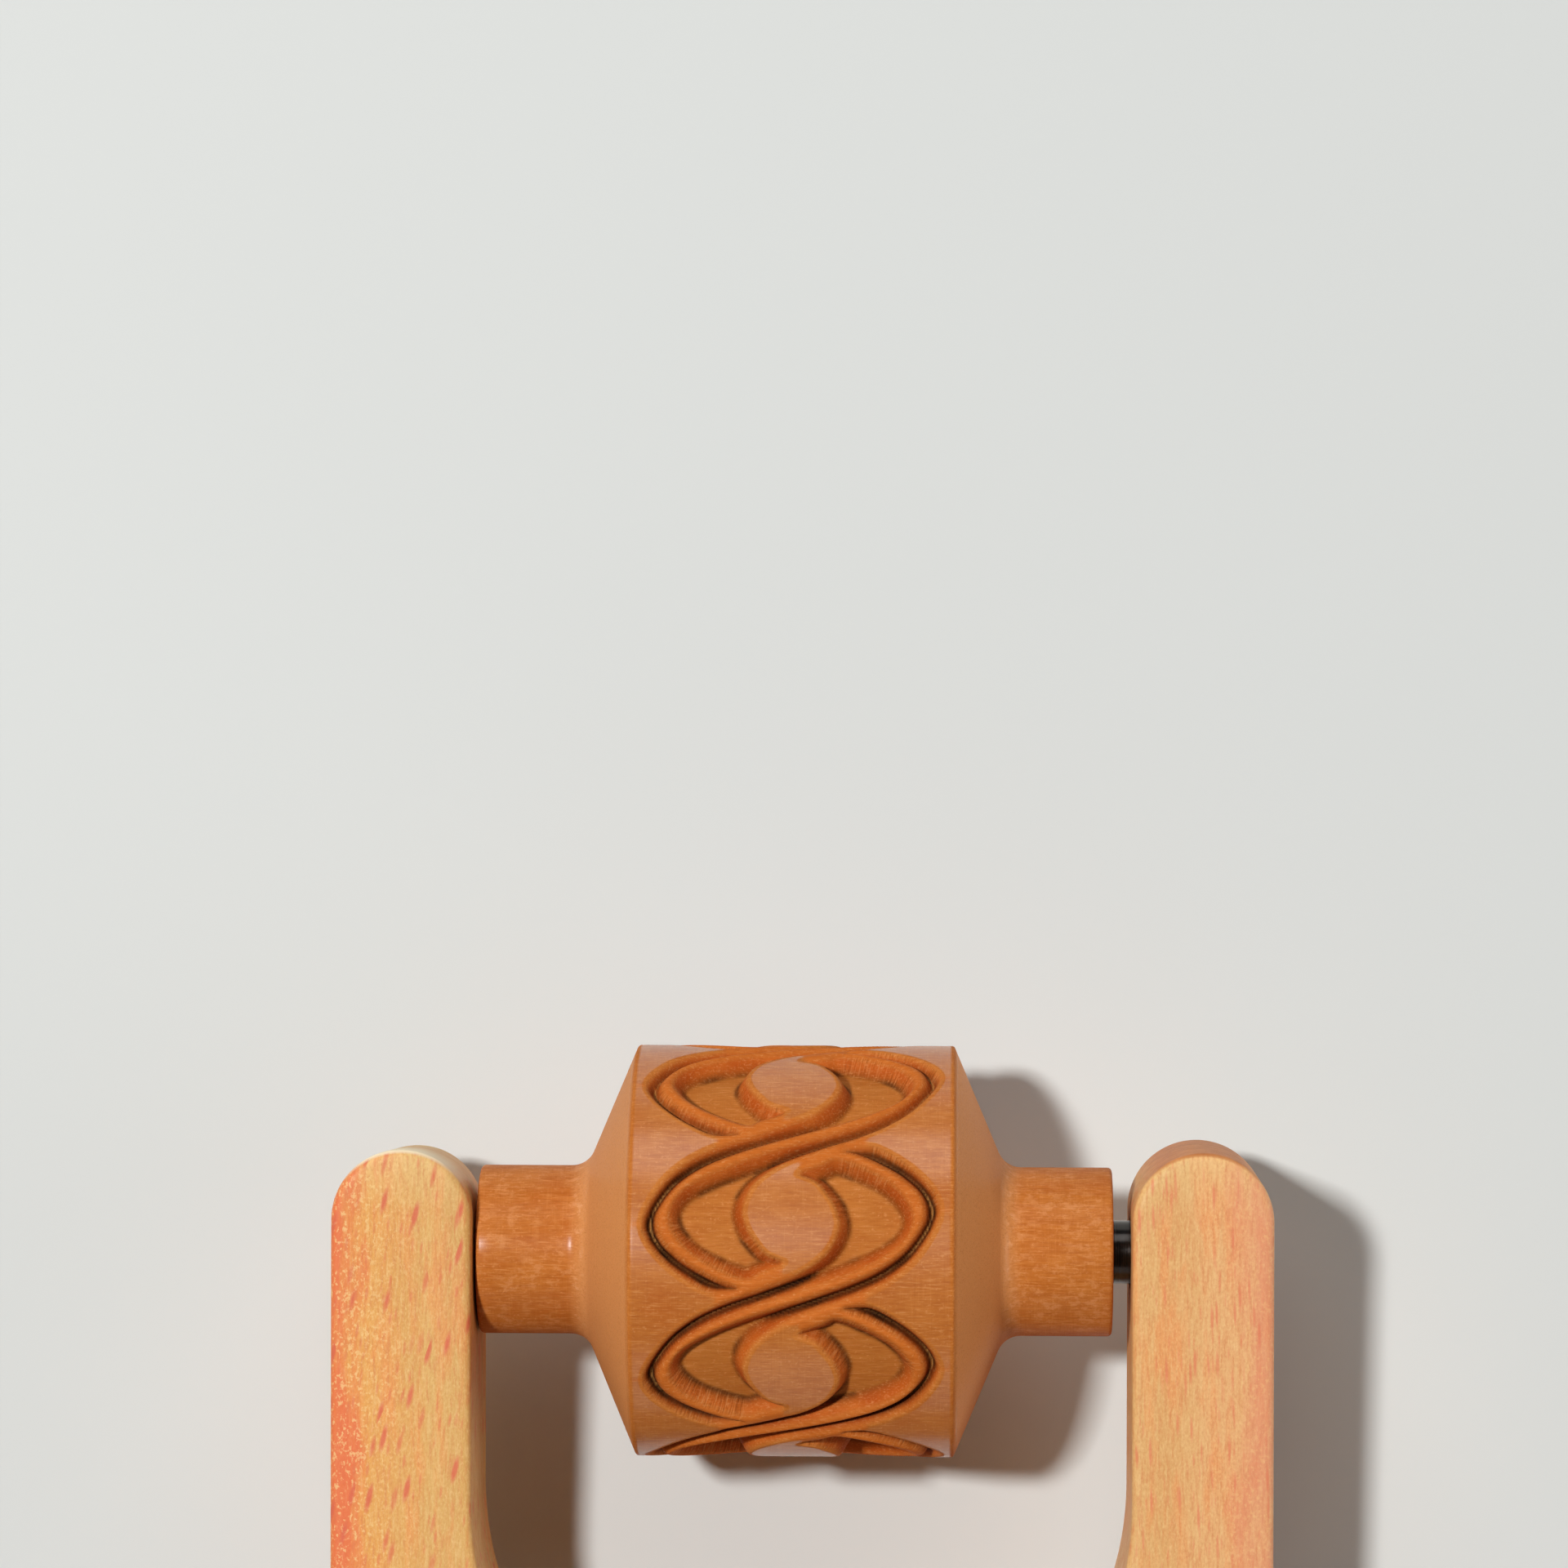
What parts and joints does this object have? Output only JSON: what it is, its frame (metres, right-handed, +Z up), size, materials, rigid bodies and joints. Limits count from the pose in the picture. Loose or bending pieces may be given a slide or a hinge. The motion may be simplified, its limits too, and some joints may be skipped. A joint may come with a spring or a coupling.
{
  "type": "clay texture roller",
  "caption": "Hand tool with a carved wooden roller that turns on a removable steel pin between the arms of a beech fork handle, for rolling an interlaced relief band into clay.",
  "frame": {"origin": "on the surface that the tool rests on, at the bottom centre of its bounding box", "axes": "+X along the pin, +Y from the grip towards the roller, +Z up"},
  "size_m": [0.0886, 0.1798, 0.039],
  "materials": {
    "beech": "satin",
    "carved_wood": "satin",
    "steel": "polished"
  },
  "bodies": {
    "fork": {"fork_handle": "beech"},
    "roller": {"texture_roller": "carved_wood"},
    "pin": {"axle_pin": "steel"}
  },
  "joints": [
    {"name": "roller_spin", "type": "hinge", "parent": "fork", "child": "roller", "pos_m": [0, 0.07037, 0.0195], "axis": [1, 0, 0], "continuous": true},
    {"name": "pin_slide", "type": "slide", "parent": "fork", "child": "pin", "axis": [1, 0, 0], "range_m": [0, 0.0755]}
  ]
}
